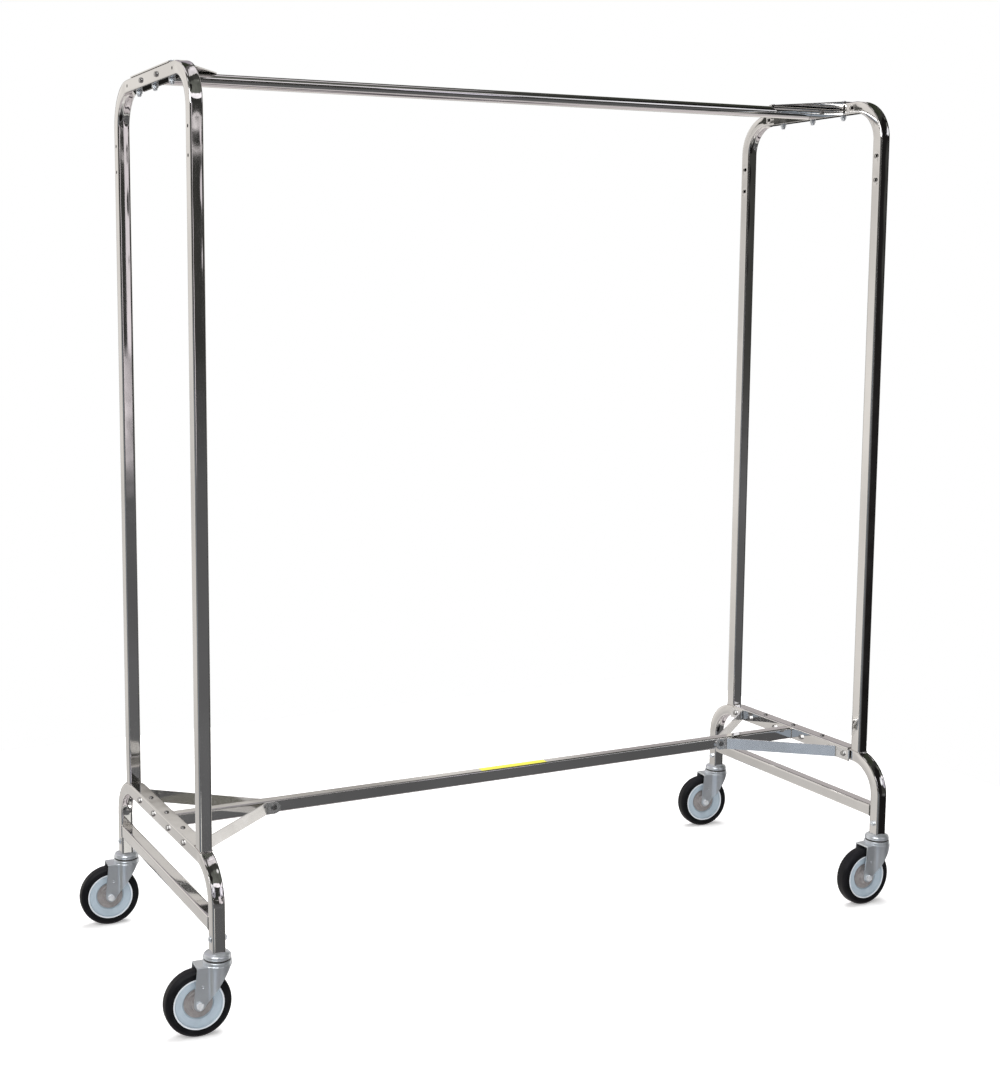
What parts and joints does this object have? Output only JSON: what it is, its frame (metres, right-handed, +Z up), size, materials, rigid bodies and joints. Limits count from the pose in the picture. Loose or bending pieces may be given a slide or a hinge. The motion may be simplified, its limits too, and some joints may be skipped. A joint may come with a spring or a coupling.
{
  "type": "rolling clothes rack",
  "caption": "Chrome clothes rack with a round hang rail between two bent square-tube end frames, a braced base and swivel casters.",
  "frame": {"origin": "on the floor under the middle of the object's box, casters trailing towards -X", "axes": "+Z up, +X along the hang rail from the left end frame to the right one, front is -Y"},
  "size_m": [1.6844, 0.6442, 1.7707],
  "materials": {
    "chrome": "bright chrome plate, mirror polished",
    "zinc": "bright bluish zinc plate, satin",
    "steel": "plain plated steel hardware",
    "rubber": "matte black solid rubber",
    "core_plastic": "pale blue-grey moulded plastic, satin",
    "label": "plain yellow film, no print"
  },
  "bodies": {
    "frame": {"left_upper_bow": "chrome", "left_base_bow": "chrome", "left_lower_rail": "chrome", "left_rail_bracket": "chrome", "left_base_angle": "chrome", "left_front_brace": "chrome", "left_rear_brace": "chrome", "left_front_rail_bolt": "steel", "left_middle_rail_bolt": "steel", "left_rear_rail_bolt": "steel", "right_upper_bow": "chrome", "right_base_bow": "chrome", "right_lower_rail": "chrome", "right_rail_bracket": "chrome", "right_base_angle": "chrome", "right_front_brace": "chrome", "right_rear_brace": "chrome", "right_front_rail_bolt": "steel", "right_middle_rail_bolt": "steel", "right_rear_rail_bolt": "steel", "hang_rail": "chrome", "base_crossbar": "chrome", "front_left_stem": "steel", "front_left_race_cup": "zinc", "front_left_stem_bolt": "zinc", "rear_left_stem": "steel", "rear_left_race_cup": "zinc", "rear_left_stem_bolt": "zinc", "front_right_stem": "steel", "front_right_race_cup": "zinc", "front_right_stem_bolt": "zinc", "rear_right_stem": "steel", "rear_right_race_cup": "zinc", "rear_right_stem_bolt": "zinc"},
    "front_left_swivel": {"front_left_fork": "zinc", "front_left_axle_sleeve": "steel", "front_left_axle_bolt": "zinc", "front_left_axle_nut": "zinc"},
    "front_left_wheel": {"front_left_wheel_core": "core_plastic", "front_left_tyre": "rubber"},
    "rear_left_swivel": {"rear_left_fork": "zinc", "rear_left_axle_sleeve": "steel", "rear_left_axle_bolt": "zinc", "rear_left_axle_nut": "zinc"},
    "rear_left_wheel": {"rear_left_wheel_core": "core_plastic", "rear_left_tyre": "rubber"},
    "front_right_swivel": {"front_right_fork": "zinc", "front_right_axle_sleeve": "steel", "front_right_axle_bolt": "zinc", "front_right_axle_nut": "zinc"},
    "front_right_wheel": {"front_right_wheel_core": "core_plastic", "front_right_tyre": "rubber"},
    "rear_right_swivel": {"rear_right_fork": "zinc", "rear_right_axle_sleeve": "steel", "rear_right_axle_bolt": "zinc", "rear_right_axle_nut": "zinc"},
    "rear_right_wheel": {"rear_right_wheel_core": "core_plastic", "rear_right_tyre": "rubber"}
  },
  "joints": [
    {"name": "front_left_swivel_turn", "type": "hinge", "parent": "frame", "child": "front_left_swivel", "pos_m": [-0.73995, -0.292, 0.1425], "axis": [0, 0, 1], "continuous": true},
    {"name": "front_left_wheel_roll", "type": "hinge", "parent": "front_left_swivel", "child": "front_left_wheel", "pos_m": [-0.77844, -0.28911, 0.0635], "axis": [0.075, 0.9972, 0], "continuous": true},
    {"name": "rear_left_swivel_turn", "type": "hinge", "parent": "frame", "child": "rear_left_swivel", "pos_m": [-0.73995, 0.292, 0.1425], "axis": [0, 0, 1], "continuous": true},
    {"name": "rear_left_wheel_roll", "type": "hinge", "parent": "rear_left_swivel", "child": "rear_left_wheel", "pos_m": [-0.77845, 0.29483, 0.0635], "axis": [0.0732, 0.9973, 0], "continuous": true},
    {"name": "front_right_swivel_turn", "type": "hinge", "parent": "frame", "child": "front_right_swivel", "pos_m": [0.81405, -0.292, 0.1425], "axis": [0, 0, 1], "continuous": true},
    {"name": "front_right_wheel_roll", "type": "hinge", "parent": "front_right_swivel", "child": "front_right_wheel", "pos_m": [0.77545, -0.29227, 0.0635], "axis": [-0.007, 1, 0], "continuous": true},
    {"name": "rear_right_swivel_turn", "type": "hinge", "parent": "frame", "child": "rear_right_swivel", "pos_m": [0.81405, 0.292, 0.1425], "axis": [0, 0, 1], "continuous": true},
    {"name": "rear_right_wheel_roll", "type": "hinge", "parent": "rear_right_swivel", "child": "rear_right_wheel", "pos_m": [0.77571, 0.29644, 0.0635], "axis": [0.1149, 0.9934, 0], "continuous": true}
  ]
}
